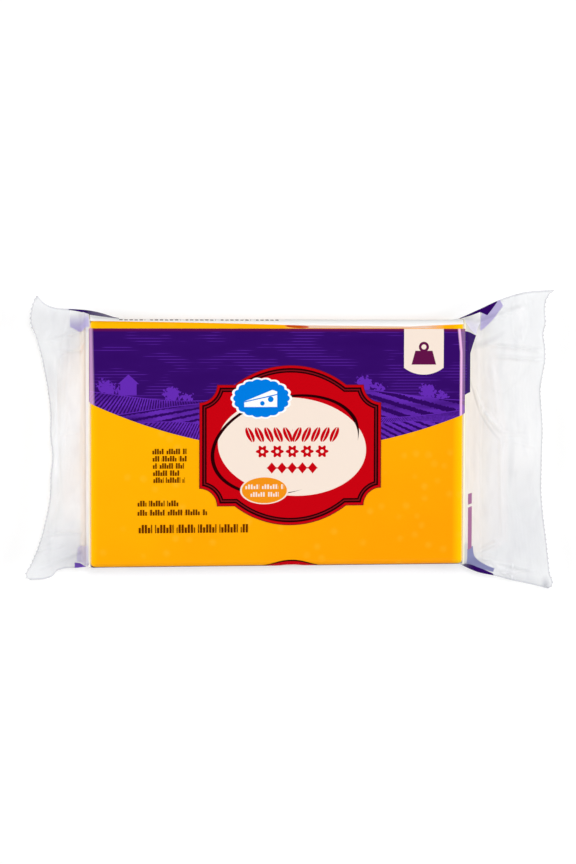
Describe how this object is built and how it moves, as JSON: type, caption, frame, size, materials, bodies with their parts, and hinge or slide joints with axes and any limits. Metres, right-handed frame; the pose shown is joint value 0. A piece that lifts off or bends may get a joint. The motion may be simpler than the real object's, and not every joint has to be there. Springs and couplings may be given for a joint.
{
  "type": "cheddar block",
  "caption": "Brick of cheddar sealed in printed clear film, lying on its back, with a flat crimped fin of film standing out past each short end.",
  "frame": {"origin": "middle of the block's back face, on which it rests", "axes": "+X along the block, to the right as the front is read; +Y up the printed front as it is read; +Z out of the printed front, upwards at rest"},
  "size_m": [0.2252, 0.1282, 0.0255],
  "materials": {
    "cheddar": "smooth, faintly waxy cut cheese seen through close clear film",
    "clear_film": "glossy clear packaging film with printed areas, ribbed where it is sealed"
  },
  "bodies": {
    "root": {"cheese_block": "cheddar", "film_end_left": "clear_film", "film_end_right": "clear_film"}
  },
  "joints": []
}
